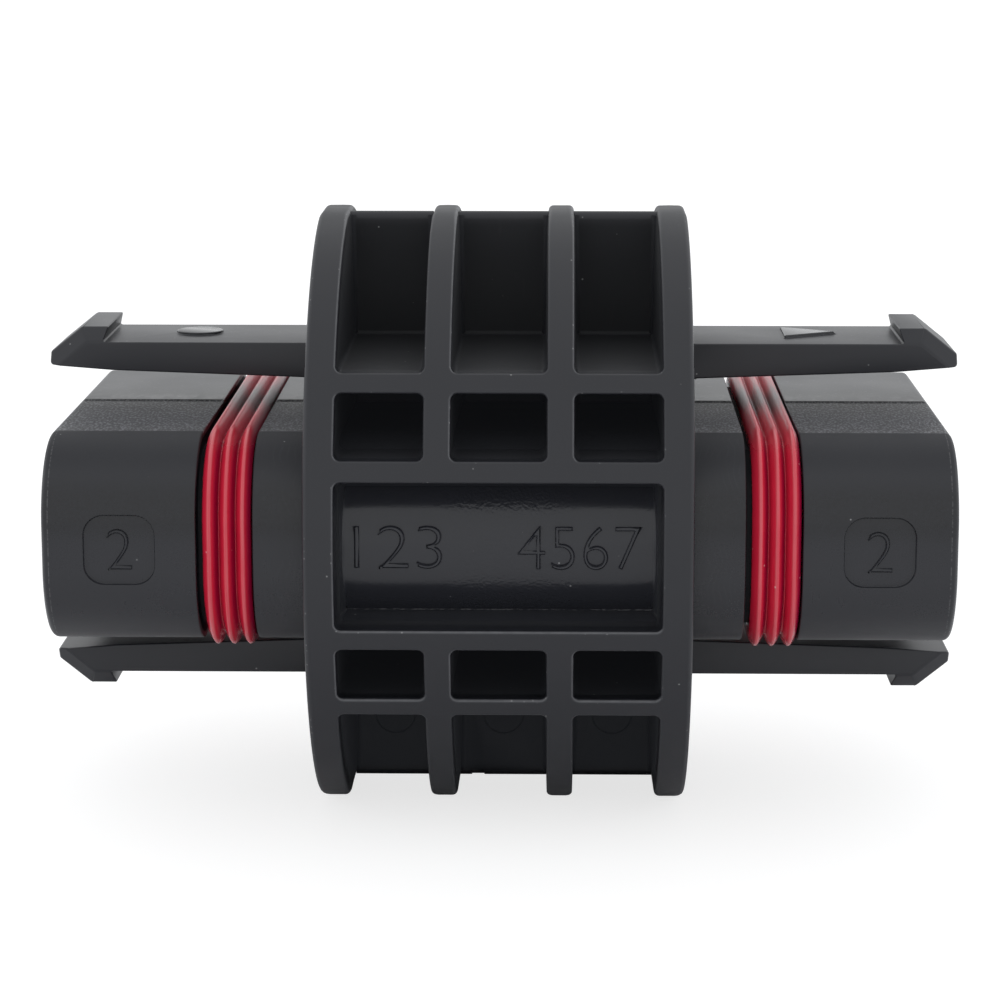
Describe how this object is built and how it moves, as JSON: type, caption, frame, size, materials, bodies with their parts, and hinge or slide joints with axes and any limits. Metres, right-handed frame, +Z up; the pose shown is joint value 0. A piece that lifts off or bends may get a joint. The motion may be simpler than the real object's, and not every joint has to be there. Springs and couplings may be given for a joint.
{
  "type": "inline cable coupler",
  "caption": "Inline coupler for a microinverter trunk cable: round ribbed grip between flat sealed plugs with latch arms and socket contacts.",
  "frame": {"origin": "middle of the coupler: halfway between the plug ends, on the earth contact's axis, in the mould's parting plane", "axes": "+X along the cable towards the right-hand plug, +Y from the marked front to the back, +Z up"},
  "size_m": [0.0884, 0.0588, 0.0578],
  "materials": {
    "housing": "satin moulded, textured above and below the plugs",
    "seal": "satin silicone",
    "contact": "turned"
  },
  "bodies": {
    "root": {"housing": "housing", "seal_left": "seal", "seal_right": "seal", "contact_1": "contact", "contact_2": "contact", "contact_3": "contact"}
  },
  "joints": []
}
